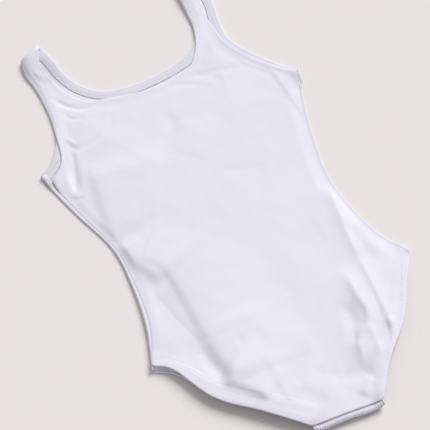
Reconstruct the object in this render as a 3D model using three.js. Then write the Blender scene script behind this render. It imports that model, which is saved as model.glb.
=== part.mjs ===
// Child's tank leotard of white stretch cloth, lying flat on its back panel with the front panel on top.
// Millimetres. +Y runs from the crotch to the straps, +X to the right of the garment as it lies, +Z up.
// The origin is on the surface it lies on, under the middle of its bounding box.
import * as THREE from "three";

// Driving dimensions
const frontWall = 1.5; // thickness of the front panel
const backWall = 1.3; // thickness of the back panel
const hemWall = 1.2; // thickness of the cloth turned in at a hem
const seamGap = 0.3; // space between two pieces that are sewn together
const hemWidth = 9; // width of the turned hem at the neck and the legs
const hemRows = { leg: 1.6, neck: 1.25 }; // first and last row of a panel's net against its other rows
const sidePuff = 1.9; // how far the front rises off the back just inside a side seam
const sideRun = 14; // distance from the side seam over which it does so
const bodyPuff = 0.7; // further rise in the middle of the torso
const bodyRun = 60; // distance from the outline over which it does so
const hemStack = 3.4; // rise of the front panel where turned hems lie between the panels
const hemRun = 17; // distance past a hem over which that rise fades
const legRun = { front: 40, back: 24 }; // how far inwards the lift of a leg hem reaches
const leftRoll = { height: 3, run: 10 }; // back panel curling up to the left side seam
const traceSteps = 90; // short lines that an edge is traced with where distances to it are measured
const cloth = { color: 0xe8e6f1, roughness: 0.85, metalness: 0 };
const turned = { color: 0xdedce6, roughness: 0.9, metalness: 0 };

// Sections of the two panels as they lie. Each row joins a point of the left edge to one of the right edge.
// side: leg corner to underarm. arm: underarm to strap end. neck: strap end to the middle of the neck.
// leg: leg corner to crotch, with how far the left and the right leg hem stand off the surface.
const frontCut = {
  side: [
    { at: "leg corner", leftX: -121, leftY: -125, rightX: 131, rightY: -120 },
    { at: "high hip", leftX: -107, leftY: -89, rightX: 115, rightY: -91 },
    { at: "low waist", leftX: -102, leftY: -44, rightX: 105, rightY: -48 },
    { at: "waist", leftX: -103, leftY: -6, rightX: 104, rightY: -12 },
    { at: "ribs", leftX: -117, leftY: 37, rightX: 112, rightY: 29 },
    { at: "chest", leftX: -125, leftY: 66, rightX: 121, rightY: 64 },
    { at: "underarm", leftX: -129, leftY: 84, rightX: 132.5, rightY: 99 },
  ],
  arm: [
    { at: "underarm", leftX: -129, leftY: 84, rightX: 132.5, rightY: 99 },
    { at: "low armhole", leftX: -111, leftY: 103, rightX: 112, rightY: 118 },
    { at: "front armhole", leftX: -103.5, leftY: 131, rightX: 96, rightY: 140 },
    { at: "high armhole", leftX: -100.5, leftY: 153, rightX: 86, rightY: 160 },
    { at: "strap root", leftX: -100.5, leftY: 188, rightX: 82, rightY: 188 },
    { at: "strap middle", leftX: -103.5, leftY: 208, rightX: 84, rightY: 212 },
    { at: "strap end", leftX: -101.5, leftY: 223, rightX: 90, rightY: 241 },
  ],
  neck: [
    { at: "strap end", leftX: -81, leftY: 234.5, rightX: 70, rightY: 243.5 },
    { at: "strap middle", leftX: -87, leftY: 211, rightX: 68, rightY: 214 },
    { at: "strap root", leftX: -84.5, leftY: 193, rightX: 66, rightY: 192 },
    { at: "high neck", leftX: -78.5, leftY: 172, rightX: 58, rightY: 169 },
    { at: "neck corner", leftX: -64, leftY: 155, rightX: 42, rightY: 149 },
    { at: "low neck", leftX: -40, leftY: 147.5, rightX: 25, rightY: 143.5 },
    { at: "neck middle", leftX: -4, leftY: 141.5, rightX: -4, rightY: 141.5 },
  ],
  leg: [
    { at: "leg corner", leftX: -121, leftY: -125, rightX: 131, rightY: -120, leftLift: 2, rightLift: 0.5 },
    { at: "outer leg", leftX: -108, leftY: -135, rightX: 116, rightY: -142, leftLift: 4, rightLift: 2.5 },
    { at: "front leg", leftX: -87, leftY: -175, rightX: 92, rightY: -177, leftLift: 5.5, rightLift: 4 },
    { at: "inner leg", leftX: -57, leftY: -203, rightX: 62, rightY: -207, leftLift: 5.5, rightLift: 4 },
    { at: "crotch", leftX: -25, leftY: -233, rightX: 38.5, rightY: -237, leftLift: 2.5, rightLift: 2.5 },
  ],
  cells: { hip: 28, armhole: 14, strap: 5, strapWide: 3, neckHalf: 14, leg: 14, crotch: 6 },
};

const backCut = {
  side: [
    { at: "leg corner", leftX: -124, leftY: -131, rightX: 129, rightY: -117 },
    { at: "high hip", leftX: -110, leftY: -88, rightX: 114, rightY: -91 },
    { at: "low waist", leftX: -104.5, leftY: -45, rightX: 104, rightY: -48 },
    { at: "waist", leftX: -104.5, leftY: -6, rightX: 103, rightY: -12 },
    { at: "ribs", leftX: -119, leftY: 40, rightX: 111, rightY: 29 },
    { at: "chest", leftX: -127, leftY: 67, rightX: 120, rightY: 64 },
    { at: "underarm", leftX: -133.5, leftY: 93, rightX: 133.5, rightY: 102 },
  ],
  arm: [
    { at: "underarm", leftX: -133.5, leftY: 93, rightX: 133.5, rightY: 102 },
    { at: "low armhole", leftX: -117, leftY: 107, rightX: 113, rightY: 126 },
    { at: "front armhole", leftX: -102, leftY: 131, rightX: 101, rightY: 144 },
    { at: "high armhole", leftX: -97, leftY: 158, rightX: 91, rightY: 165 },
    { at: "strap root", leftX: -96, leftY: 190, rightX: 91, rightY: 186 },
    { at: "strap middle", leftX: -99, leftY: 207, rightX: 96, rightY: 212 },
    { at: "strap end", leftX: -100, leftY: 221.5, rightX: 96, rightY: 239.5 },
  ],
  neck: [
    { at: "strap end", leftX: -78, leftY: 231.5, rightX: 74, rightY: 242 },
    { at: "strap middle", leftX: -73.5, leftY: 213, rightX: 73, rightY: 216 },
    { at: "strap root", leftX: -70, leftY: 194, rightX: 70, rightY: 194 },
    { at: "high neck", leftX: -61, leftY: 174, rightX: 59, rightY: 175 },
    { at: "neck corner", leftX: -46, leftY: 160, rightX: 43, rightY: 162.5 },
    { at: "low neck", leftX: -25, leftY: 154, rightX: 22, rightY: 156.5 },
    { at: "neck middle", leftX: -3, leftY: 153.5, rightX: -3, rightY: 153.5 },
  ],
  leg: [
    { at: "leg corner", leftX: -124, leftY: -131, rightX: 129, rightY: -117, leftLift: 0, rightLift: 0 },
    { at: "outer leg", leftX: -108, leftY: -138, rightX: 112, rightY: -140, leftLift: 0.5, rightLift: 0.5 },
    { at: "front leg", leftX: -83, leftY: -171, rightX: 88, rightY: -174, leftLift: 3, rightLift: 2 },
    { at: "inner leg", leftX: -55, leftY: -196, rightX: 59, rightY: -202, leftLift: 3, rightLift: 2 },
    { at: "crotch", leftX: -23, leftY: -222, rightX: 36, rightY: -225, leftLift: 0, rightLift: 0 },
  ],
  cells: { hip: 20, armhole: 11, strap: 5, strapWide: 3, neckHalf: 8, leg: 9, crotch: 4 },
};

// Folds of the front panel. A trough has a negative height. bend bows a fold to the left of its run.
const folds = [
  { at: "hip trough", fromX: -103, fromY: -14, toX: -80, toY: -56, bend: -5, width: 7, height: -1.6 },
  { at: "left leg trough", fromX: -80, fromY: -46, toX: -64, toY: -164, bend: -6, width: 7, height: -1.8 },
  { at: "left leg ridge", fromX: -99, fromY: -46, toX: -80, toY: -166, bend: 4, width: 8, height: 3.2 },
  { at: "left inner ridge", fromX: -60, fromY: -78, toX: -44, toY: -166, bend: -4, width: 11, height: 2.2 },
  { at: "left hem pocket", fromX: -70, fromY: -166, toX: -46, toY: -188, bend: 0, width: 6, height: -1.8 },
  { at: "right hip trough", fromX: 99, fromY: -24, toX: 75, toY: -186, bend: 5, width: 5, height: -1.8 },
  { at: "right hip ridge", fromX: 103, fromY: -34, toX: 85, toY: -172, bend: 5, width: 5, height: 2.4 },
  { at: "right leg trough", fromX: 68, fromY: -112, toX: 60, toY: -176, bend: 3, width: 5, height: -1.6 },
  { at: "right leg ridge", fromX: 76, fromY: -96, toX: 66, toY: -192, bend: 2, width: 5, height: 1.8 },
  { at: "right belly swell", fromX: 40, fromY: -84, toX: 36, toY: -160, bend: -3, width: 16, height: 1.6 },
  { at: "crotch trough", fromX: 10, fromY: -176, toX: 42, toY: -212, bend: 4, width: 9, height: -1.5 },
  { at: "crotch swell", fromX: -22, fromY: -172, toX: 2, toY: -212, bend: 0, width: 10, height: 1.4 },
  { at: "left armhole ridge", fromX: -105, fromY: 98, toX: -113, toY: 62, bend: 2, width: 5, height: 2.2 },
  { at: "left armhole trough", fromX: -97, fromY: 104, toX: -104, toY: 56, bend: 3, width: 6, height: -1.3 },
  { at: "left chest crease", fromX: -97, fromY: 110, toX: -50, toY: 124, bend: -6, width: 7, height: 1.5 },
  { at: "left chest trough", fromX: -93, fromY: 84, toX: -104, toY: 12, bend: -3, width: 9, height: -1.2 },
  { at: "right chest crease", fromX: 107, fromY: 108, toX: 113, toY: 40, bend: 3, width: 5, height: -1.4 },
  { at: "right chest ridge", fromX: 115, fromY: 98, toX: 117, toY: 56, bend: 1, width: 4, height: 1.2 },
  { at: "belly swell", fromX: 62, fromY: 10, toX: 64, toY: -70, bend: 4, width: 13, height: 1.3 },
  { at: "chest swell", fromX: -10, fromY: 84, toX: 24, toY: 108, bend: 5, width: 16, height: 1.2 },
];
const foldHem = { from: 3, to: 22 }; // folds die away towards a hem between these distances
const foldEnd = 0.2; // share of a fold's length over which it rises at each end

// Outer line of the crotch gusset, from the left end of the crotch seam to its right end.
const gussetRows = [
  { along: 0, reach: 2.5, rise: 7.6 },
  { along: 0.12, reach: 4.5, rise: 8.2 },
  { along: 0.3, reach: 6, rise: 8.6 },
  { along: 0.55, reach: 6, rise: 8.6 },
  { along: 0.85, reach: 7, rise: 8.4 },
  { along: 1, reach: 4, rise: 7.6 },
];
const gusset = { stations: 18, wall: 1.3, arcSteps: 10, inset: 0.6 }; // inset narrows it at each end

// Curves along the edges
const leftOf = rows => rows.map(row => new THREE.Vector3(row.leftX, row.leftY, 0));
const rightOf = rows => rows.map(row => new THREE.Vector3(row.rightX, row.rightY, 0));
const smooth = points => new THREE.CatmullRomCurve3(points, false, "centripetal");
const rowNumber = (rows, name) => rows.findIndex(row => row.at === name);
const smoothstep = THREE.MathUtils.smoothstep;
const lerp = THREE.MathUtils.lerp;

// Length of a line of points up to each of them
function runs(points) {
  const run = [0];
  for (let i = 1; i < points.length; i++) run.push(run[i - 1] + points[i].distanceTo(points[i - 1]));
  return run;
}

// Points along a curve between two of its control points, evenly spaced but for the first and last step
function stretch(curve, fromPoint, toPoint, cells, firstStep = 1, lastStep = 1) {
  const last = curve.points.length - 1;
  const samples = 2 * traceSteps;
  const fine = [];
  for (let i = 0; i <= samples; i++) {
    fine.push(curve.getPoint(lerp(fromPoint, toPoint, i / samples) / last));
  }
  const run = runs(fine);
  const steps = Array(cells).fill(1);
  steps[0] = firstStep;
  steps[cells - 1] = lastStep;
  const whole = steps.reduce((sum, step) => sum + step, 0);
  const points = [fine[0]];
  let done = 0;
  let k = 0;
  for (const step of steps) {
    done += step;
    const wanted = run[samples] * Math.min(done / whole, 1);
    while (k < samples - 1 && run[k + 1] < wanted) k++;
    points.push(fine[k].clone().lerp(fine[k + 1], Math.min((wanted - run[k]) / (run[k + 1] - run[k]), 1)));
  }
  return points;
}

// Share of the length reached at each point, as the mean of two opposite edges
function shares(one, other) {
  const [a, b] = [runs(one), runs(other)];
  return a.map((length, i) => (length / a.at(-1) + b[i] / b.at(-1)) / 2);
}

// One flat panel as a net of cells in plan: the body, filled in between its four edges, and two straps.
function layPanel(cut) {
  const { hip, armhole, strap, strapWide, neckHalf, leg, crotch } = cut.cells;
  const armRoot = rowNumber(cut.arm, "strap root");
  const neckRoot = rowNumber(cut.neck, "strap root");
  const sideEnd = cut.side.length - 1;
  const legEnd = cut.leg.length - 1;
  const neckLast = 2 * cut.neck.length - 2;
  const neckCurve = smooth([...leftOf(cut.neck), ...rightOf(cut.neck).reverse().slice(1)]);
  const curves = [leftOf, rightOf].map(pick => ({
    side: smooth(pick(cut.side)),
    arm: smooth(pick(cut.arm)),
    leg: smooth(pick(cut.leg)),
  }));
  const uprights = curves.map(curve => [
    ...stretch(curve.side, 0, sideEnd, hip, hemRows.leg, 1),
    ...stretch(curve.arm, 0, armRoot, armhole, 1, hemRows.neck).slice(1),
  ]);
  const [leftLeg, rightLeg] = curves.map(curve => stretch(curve.leg, 0, legEnd, leg));
  const crotchLine = new THREE.LineCurve3(leftLeg[leg], rightLeg[leg]).getPoints(crotch);
  const bottom = [...leftLeg, ...crotchLine.slice(1, -1), ...rightLeg.slice().reverse()];
  const neckPoints = stretch(neckCurve, neckRoot, neckLast - neckRoot, 2 * neckHalf);
  const [leftRoot, rightRoot] = uprights.map(edge => edge.at(-1));
  const leftAcross = new THREE.LineCurve3(leftRoot, neckPoints[0]).getPoints(strapWide);
  const rightAcross = new THREE.LineCurve3(neckPoints[2 * neckHalf], rightRoot).getPoints(strapWide);
  const top = [...leftAcross, ...neckPoints.slice(1, -1), ...rightAcross];

  const columns = top.length - 1;
  const rows = uprights[0].length - 1;
  const across = shares(top, bottom);
  const upward = shares(...uprights);
  const nodes = [];
  const cells = [];
  for (let j = 0; j <= rows; j++) {
    for (let i = 0; i <= columns; i++) {
      const [s, t] = [across[i], upward[j]];
      const between = key => lerp(bottom[i][key], top[i][key], t)
        + lerp(uprights[0][j][key], uprights[1][j][key], s)
        - lerp(lerp(bottom[0][key], bottom[columns][key], s), lerp(top[0][key], top[columns][key], s), t);
      nodes.push({ x: between("x"), y: between("y") });
    }
  }
  const at = (i, j) => j * (columns + 1) + i;
  for (let j = 0; j < rows; j++) {
    for (let i = 0; i < columns; i++) {
      const hems = [];
      const overNeck = i >= strapWide - 1 && i <= columns - strapWide;
      if (i === 0 && j >= hip) hems.push("armhole_left");
      if (i === columns - 1 && j >= hip) hems.push("armhole_right");
      if (j === 0 && i < leg) hems.push("leg_left");
      if (j === 0 && i >= leg + crotch) hems.push("leg_right");
      if (j === rows - 1 && overNeck) hems.push("neck");
      cells.push({ corners: [at(i, j), at(i + 1, j), at(i + 1, j + 1), at(i, j + 1)], hems });
    }
  }

  // The straps carry on from the body's last row.
  const strapHems = ["armhole_left", "neck", "neck", "armhole_right"];
  [0, 1].forEach(hand => {
    const outer = stretch(curves[hand].arm, armRoot, cut.arm.length - 1, strap);
    const inner = hand === 0
      ? stretch(neckCurve, 0, neckRoot, strap).reverse()
      : stretch(neckCurve, neckLast - neckRoot, neckLast, strap);
    let before = Array.from({ length: strapWide + 1 }, (_, i) => at(hand * (columns - strapWide) + i, rows));
    for (let j = 1; j <= strap; j++) {
      const [start, end] = hand === 0 ? [outer[j], inner[j]] : [inner[j], outer[j]];
      const line = new THREE.LineCurve3(start, end).getPoints(strapWide);
      const now = line.map(p => nodes.push({ x: p.x, y: p.y }) - 1);
      for (let i = 0; i < strapWide; i++) {
        const hems = [];
        if (i === 0) hems.push(strapHems[2 * hand]);
        if (i === strapWide - 1) hems.push(strapHems[2 * hand + 1]);
        cells.push({ corners: [before[i], before[i + 1], now[i + 1], now[i]], hems });
      }
      before = now;
    }
  });

  const trace = key => curves.map(curve => curve[key].getPoints(traceSteps));
  const [arms, legs, sides] = ["arm", "leg", "side"].map(trace);
  const neckEdge = neckCurve.getPoints(2 * traceSteps);
  return { nodes, cells, arms, legs, sides, neckEdge, legRows: cut.leg };
}

// Distance from a place to a traced edge, and how far along the edge the nearest spot lies, from 0 to 1
function nearest(edge, place) {
  let best = { distance: Infinity, along: 0 };
  for (let i = 0; i + 1 < edge.length; i++) {
    const [a, b] = [edge[i], edge[i + 1]];
    const [dx, dy] = [b.x - a.x, b.y - a.y];
    const t = THREE.MathUtils.clamp(((place.x - a.x) * dx + (place.y - a.y) * dy) / (dx * dx + dy * dy), 0, 1);
    const distance = Math.hypot(place.x - a.x - t * dx, place.y - a.y - t * dy);
    if (distance < best.distance) best = { distance, along: (i + t) / (edge.length - 1) };
  }
  return best;
}

// Height that the lift columns give near a panel's leg hems, fading with the distance from them
function legLift(panel, place, run) {
  const rows = panel.legRows;
  const lifts = panel.legs.map((edge, hand) => {
    const { distance, along } = nearest(edge, place);
    const k = Math.min(Math.floor(along * (rows.length - 1)), rows.length - 2);
    const share = smoothstep(along * (rows.length - 1) - k, 0, 1);
    const [from, to] = [rows[k], rows[k + 1]].map(row => (hand === 0 ? row.leftLift : row.rightLift));
    return lerp(from, to, share) * (1 - smoothstep(distance, 0, run));
  });
  return Math.max(...lifts);
}

const front = layPanel(frontCut);
const back = layPanel(backCut);
const hemEdges = [front, back].flatMap(panel => [...panel.arms, ...panel.legs, panel.neckEdge]);

// Underside of the back panel: flat, but for the roll at the left side seam and the lifted leg hems
function backUnder(place) {
  const side = nearest(back.sides[0], place).distance;
  const roll = leftRoll.height * Math.max(0, 1 - side / leftRoll.run);
  return roll + legLift(back, place, legRun.back);
}

// Height of a bowed fold at a place, from how far along the fold and how far aside of it the place lies
function foldHeight(fold, place) {
  const [dx, dy] = [fold.toX - fold.fromX, fold.toY - fold.fromY];
  const length = Math.hypot(dx, dy);
  const along = ((place.x - fold.fromX) * dx + (place.y - fold.fromY) * dy) / length / length;
  const bow = 4 * fold.bend * along * (1 - along);
  const aside = ((place.y - fold.fromY) * dx - (place.x - fold.fromX) * dy) / length - bow;
  const ends = smoothstep(along, -foldEnd, foldEnd) * (1 - smoothstep(along, 1 - foldEnd, 1 + foldEnd));
  return fold.height * ends * Math.exp(-((aside / fold.width) ** 2));
}

// Underside of the front panel: on the back's edge at the side seams, over the hems, and raised by folds
function frontUnder(place) {
  const side = Math.min(...front.sides.map(edge => nearest(edge, place).distance));
  const hem = Math.min(...hemEdges.map(edge => nearest(edge, place).distance));
  const folded = folds.reduce((sum, fold) => sum + foldHeight(fold, place), 0);
  const seam = backWall + seamGap;
  const overHems = seam + hemStack * (1 - smoothstep(hem, hemWidth + 2, hemWidth + 2 + hemRun));
  const puffed = seam + sidePuff * smoothstep(side, 0, sideRun)
    + bodyPuff * smoothstep(Math.min(side, hem), 0, bodyRun);
  const calm = smoothstep(hem, foldHem.from, foldHem.to) * smoothstep(side, 0, sideRun);
  return Math.max(puffed + folded * calm + legLift(front, place, legRun.front), backUnder(place) + overHems);
}

function storeHeights(panel, under, wall) {
  for (const node of panel.nodes) {
    node.under = under(node);
    node.over = node.under + wall;
  }
}
storeHeights(back, backUnder, backWall);
storeHeights(front, frontUnder, frontWall);

// A closed body from faces given as loops of corner numbers, anticlockwise seen from outside
function body(name, positions, faces, finish) {
  const index = faces.flatMap(face => face.slice(2).flatMap((corner, i) => [face[0], face[i + 1], corner]));
  const geometry = new THREE.BufferGeometry();
  geometry.setAttribute("position", new THREE.Float32BufferAttribute(positions, 3));
  geometry.setIndex(index);
  geometry.computeVertexNormals();
  const mesh = new THREE.Mesh(geometry, new THREE.MeshStandardMaterial(finish));
  mesh.name = name;
  return mesh;
}

// A wall over some cells of a panel, between two heights at each node, closed along its free edges
function wallOver(name, panel, cells, low, high, finish) {
  const number = new Map();
  const positions = [];
  const corner = k => {
    if (!number.has(k)) {
      const node = panel.nodes[k];
      number.set(k, positions.length / 3);
      positions.push(node.x, node.y, low(node), node.x, node.y, high(node));
    }
    return number.get(k);
  };
  const open = new Map();
  const faces = [];
  for (const cell of cells) {
    const loop = cell.corners.map(corner);
    const [a, b, c, d] = loop;
    faces.push([a + 1, b + 1, c + 1, d + 1], [a, d, c, b]);
    loop.forEach((from, i) => {
      const to = loop[(i + 1) % loop.length];
      if (!open.delete(`${to} ${from}`)) open.set(`${from} ${to}`, [from, to]);
    });
  }
  for (const [from, to] of open.values()) faces.push([from, to, to + 1, from + 1]);
  return body(name, positions, faces, finish);
}

// Y of a panel's crotch edge at a place along X
function crotchY(cut, x) {
  const end = cut.leg.at(-1);
  return lerp(end.leftY, end.rightY, (x - end.leftX) / (end.rightX - end.leftX));
}

// Reach and rise of the gusset at a share of its length, read off the curve through its rows
function rowAt(outline, along) {
  const samples = outline.getPoints(2 * traceSteps);
  const found = samples.reduce((best, p) => (Math.abs(p.x - along) < Math.abs(best.x - along) ? p : best));
  return { reach: found.y, rise: found.z };
}

// Section of the gusset, in y and z: a half turn with the seam at its top and a flat tail at its bottom
function gussetSection(seamY, tailY, row, inset) {
  const wide = row.reach - inset;
  const middle = row.rise / 2;
  const points = [];
  for (let k = 0; k <= gusset.arcSteps; k++) {
    const angle = Math.PI * (0.5 + k / gusset.arcSteps);
    points.push([seamY + wide * Math.cos(angle), middle + (middle - inset) * Math.sin(angle)]);
  }
  return [...points, [tailY, inset]];
}

// The gusset: from the crotch seam it turns over the end of the garment and runs back under it
function makeGusset() {
  const end = frontCut.leg.at(-1);
  const outline = smooth(gussetRows.map(row => new THREE.Vector3(row.along, row.reach, row.rise)));
  const positions = [];
  let ring = 0;
  for (let i = 0; i <= gusset.stations; i++) {
    const along = i / gusset.stations;
    const row = rowAt(outline, along);
    const x = lerp(end.leftX + gusset.inset, end.rightX - gusset.inset, along);
    const [seamY, tailY] = [crotchY(frontCut, x) - seamGap, crotchY(backCut, x) - seamGap];
    const outer = gussetSection(seamY, tailY, row, 0);
    const inner = gussetSection(seamY, tailY, row, gusset.wall);
    const section = [...outer, ...inner.reverse()];
    ring = section.length;
    section.forEach(([y, z]) => positions.push(x, y, z));
  }
  const faces = [];
  for (let i = 0; i < gusset.stations; i++) {
    for (let k = 0; k < ring; k++) {
      const next = (k + 1) % ring;
      faces.push([i * ring + k, i * ring + next, (i + 1) * ring + next, (i + 1) * ring + k]);
    }
  }
  for (let k = 0; k < ring / 2 - 1; k++) {
    const start = [ring - 1 - k, ring - 2 - k, k + 1, k];
    faces.push(start, start.map(corner => corner + gusset.stations * ring).reverse());
  }
  return body("crotch_gusset", positions, faces, turned);
}

// The garment, with its origin moved under the middle of its box
const leotard = new THREE.Group();
const under = node => node.under;
const over = node => node.over;
leotard.add(wallOver("back_panel", back, back.cells, under, over, cloth));
leotard.add(wallOver("front_panel", front, front.cells, under, over, cloth));
leotard.add(makeGusset());
for (const hem of ["neck", "armhole_left", "armhole_right", "leg_left", "leg_right"]) {
  const pick = panel => panel.cells.filter(cell => cell.hems.includes(hem));
  leotard.add(wallOver(`hem_back_${hem}`, back, pick(back),
    node => node.over + seamGap, node => node.over + seamGap + hemWall, turned));
  leotard.add(wallOver(`hem_front_${hem}`, front, pick(front),
    node => node.under - seamGap - hemWall, node => node.under - seamGap, turned));
}

const box = new THREE.Box3().setFromObject(leotard);
const middle = box.getCenter(new THREE.Vector3());
leotard.position.set(-middle.x, -middle.y, -box.min.z);

export default leotard;
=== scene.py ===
# White child's tank leotard, lying flat on its back panel with the front panel on top.
# The tables are in millimetres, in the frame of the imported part: +Y to the straps, +X to the right, +Z up.
import math
import bpy
import numpy as np
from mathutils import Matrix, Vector


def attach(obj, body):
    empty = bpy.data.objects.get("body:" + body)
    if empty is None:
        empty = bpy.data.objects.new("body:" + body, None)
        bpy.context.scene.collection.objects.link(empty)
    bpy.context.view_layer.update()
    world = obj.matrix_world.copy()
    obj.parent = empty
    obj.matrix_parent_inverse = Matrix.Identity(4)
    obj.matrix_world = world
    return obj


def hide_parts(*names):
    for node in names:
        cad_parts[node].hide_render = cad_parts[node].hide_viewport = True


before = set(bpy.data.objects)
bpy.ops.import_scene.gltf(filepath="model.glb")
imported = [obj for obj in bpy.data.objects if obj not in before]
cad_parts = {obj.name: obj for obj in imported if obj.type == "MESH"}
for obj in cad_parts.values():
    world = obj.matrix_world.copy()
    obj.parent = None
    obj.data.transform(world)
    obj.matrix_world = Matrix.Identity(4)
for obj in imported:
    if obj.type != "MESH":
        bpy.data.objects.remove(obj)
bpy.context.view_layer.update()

mm = 0.001
bpy.ops.object.select_all(action="DESELECT")

layout = {
    "originY": 0.127,  # the tables' zero lies this far up the frame's Y
    "wall": 0.6,  # thickness of the knit
    "hemWidth": 9.0,
    "stitchRows": (5.0, 8.4),  # the two needle rows, from the hem's edge
    "foldRadius": 0.52,  # of the cloth where a hem turns over its elastic
    "stitchRoom": 0.12,  # the stitches under the back's hems hold its cloth this far up
    "strapFrom": {"arm": 4, "neck": 2},  # the points of those edges that a strap starts from
    "closeHip": 0.55, "closeArm": 0.6,  # cells are this much shorter by the leg and the strap
}

# cut of the two panels as they lie, from the first point of each edge to its last:
# (leftX, leftY, rightX, rightY), and how far the leg hems stand off the floor: (left, right)
frontCut = {
    "side": [(-121, -125, 130, -120), (-107, -89, 113.6, -91), (-102, -44, 103.8, -48),
             (-103, -6, 102.8, -12), (-115.5, 37, 110.8, 29), (-123.5, 66, 119.8, 64), (-126, 83, 131.8, 99)],
    "arm": [(-126, 83, 131.8, 99), (-110, 101, 112, 118), (-103.5, 131, 96, 140), (-100.5, 153, 86, 160),
            (-100.5, 188, 82, 188), (-103.5, 208, 84, 212), (-101.5, 223, 90, 241)],
    "neck": [(-81, 234.5, 70, 243.5), (-87, 211, 68, 214), (-84.5, 193, 66, 192), (-78.5, 172, 58, 169),
             (-64, 155, 42, 149), (-40, 147.5, 25, 143.5), (-4, 141.5, -4, 141.5)],
    "leg": [(-121, -125, 130, -120), (-108, -135, 115, -142), (-87, -175, 92, -177), (-57, -203, 62, -207),
            (-25, -233, 38.5, -237)],
    "legLift": [(2, 0.5), (4, 2.5), (5.5, 4), (5.5, 4), (2.5, 2.5)],
    "legRun": 170,
    "cells": {"hip": 128, "arm": 68, "strap": 26, "strapWide": 14, "neckHalf": 60, "leg": 60, "crotch": 28},
}
backCut = {
    "side": [(-122.3, -129.6, 130, -119.2), (-110, -88, 114, -91), (-104.5, -45, 104, -48),
             (-104.5, -6, 103, -12), (-119, 40, 111, 29), (-127, 67, 120, 64), (-133.5, 93, 133.5, 102)],
    "arm": [(-133.5, 93, 133.5, 102), (-117, 107, 113, 126), (-102, 131, 101, 144), (-97, 158, 91, 165),
            (-96, 190, 91, 186), (-99, 207, 96, 212), (-100, 221.5, 96, 239.5)],
    "neck": [(-78, 231.5, 74, 242), (-73.5, 213, 73, 216), (-70, 194, 70, 194), (-61, 174, 59, 175),
             (-46, 160, 43, 162.5), (-25, 154, 22, 156.5), (-3, 153.5, -3, 153.5)],
    "leg": [(-122.3, -129.6, 130, -119.2), (-108, -138, 112, -140), (-83, -171, 88, -174),
            (-55, -196, 59, -202), (-23, -222, 36, -225)],
    "legLift": [(0, 0), (0.5, 0.5), (3, 2), (3, 2), (0, 0)],
    "legRun": 24,
    "cells": {"hip": 90, "arm": 56, "strap": 22, "strapWide": 12, "neckHalf": 42, "leg": 42, "crotch": 24},
}


# lines and nets
def smoothLine(points, steps=24):  # a fine line through the points
    p = np.array(points, float)
    p = np.vstack([2 * p[:1] - p[1:2], p, 2 * p[-1:] - p[-2:-1]])
    gap = np.linalg.norm(np.diff(p, axis=0), axis=1) ** 0.5
    t = np.linspace(0, 1, steps, endpoint=False)[:, None]
    line = []
    for k in range(1, len(p) - 2):
        a, b, c, d = p[k - 1:k + 3]
        ga, gb, gc = gap[k - 1:k + 2]
        m = ((b - a) / ga - (c - a) / (ga + gb) + (c - b) / gb) * gb
        n = ((c - b) / gb - (d - b) / (gb + gc) + (d - c) / gc) * gb
        line.append(b + m * t + (3 * (c - b) - 2 * m - n) * t ** 2 + (2 * (b - c) + m + n) * t ** 3)
    return np.vstack(line + [p[-2:-1]])


def runsOf(line):  # length of a line up to each of its points
    return np.concatenate([[0], np.cumsum(np.linalg.norm(np.diff(line, axis=0), axis=1))])


def sharesOf(line):  # the same, as a share of the whole
    return runsOf(line) / runsOf(line)[-1]


def spotsOn(line, run, wanted):  # the places on a line where its run has the wanted lengths
    return np.column_stack([np.interp(wanted, run, line[:, k]) for k in range(line.shape[1])])


def alongLine(line, weights):  # points along a line, in steps as long as the weights say
    run = runsOf(line)
    return spotsOn(line, run, np.concatenate([[0], np.cumsum(weights)]) / np.sum(weights) * run[-1])


def nearestOn(line, places):  # distance to a line, and the length along it of the nearest spot
    run = runsOf(line)
    best = np.full(len(places), 1e9)
    along = np.zeros(len(places))
    for k in range(len(line) - 1):
        a, d = line[k], line[k + 1] - line[k]
        size = max(d @ d, 1e-12)
        t = np.clip((places - a) @ d / size, 0, 1)
        gap = np.linalg.norm(places - a - t[:, None] * d, axis=1)
        nearer = gap < best
        best[nearer] = gap[nearer]
        along[nearer] = run[k] + t[nearer] * math.sqrt(size)
    return best, along


def smoothStep(x, low, high):
    t = np.clip((x - low) / (high - low), 0, 1)
    return t * t * (3 - 2 * t)


# which way the points of each edge run round their panel
anticlockwise = {"leg_left": 1, "crotch": 1, "leg_right": -1, "side_left": -1, "side_right": 1,
                 "armhole_left": -1, "armhole_right": 1, "neck": -1,
                 "shoulder_left": -1, "shoulder_right": -1}


def outwardOf(name, line):  # the way out of a panel at each point of one of its edges
    along = np.gradient(line[:, :2], axis=0)
    along /= np.linalg.norm(along, axis=1)[:, None]
    return anticlockwise[name] * np.column_stack([along[:, 1], -along[:, 0]])


def numbersOf(rows, columns, first=0):  # a grid of point numbers
    return first + np.arange(rows * columns).reshape(rows, columns)


def quads(grid):  # the faces between a grid's points
    return np.stack([grid[:-1, :-1], grid[:-1, 1:], grid[1:, 1:], grid[1:, :-1]], -1).reshape(-1, 4)


otherWay = [0, 3, 2, 1]  # turns a face over


def around(places, x, y, far):  # 1 at a spot, fading away from it
    return np.exp(-((places[:, 0] - x) ** 2 + (places[:, 1] - y) ** 2) / far ** 2)


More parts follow.
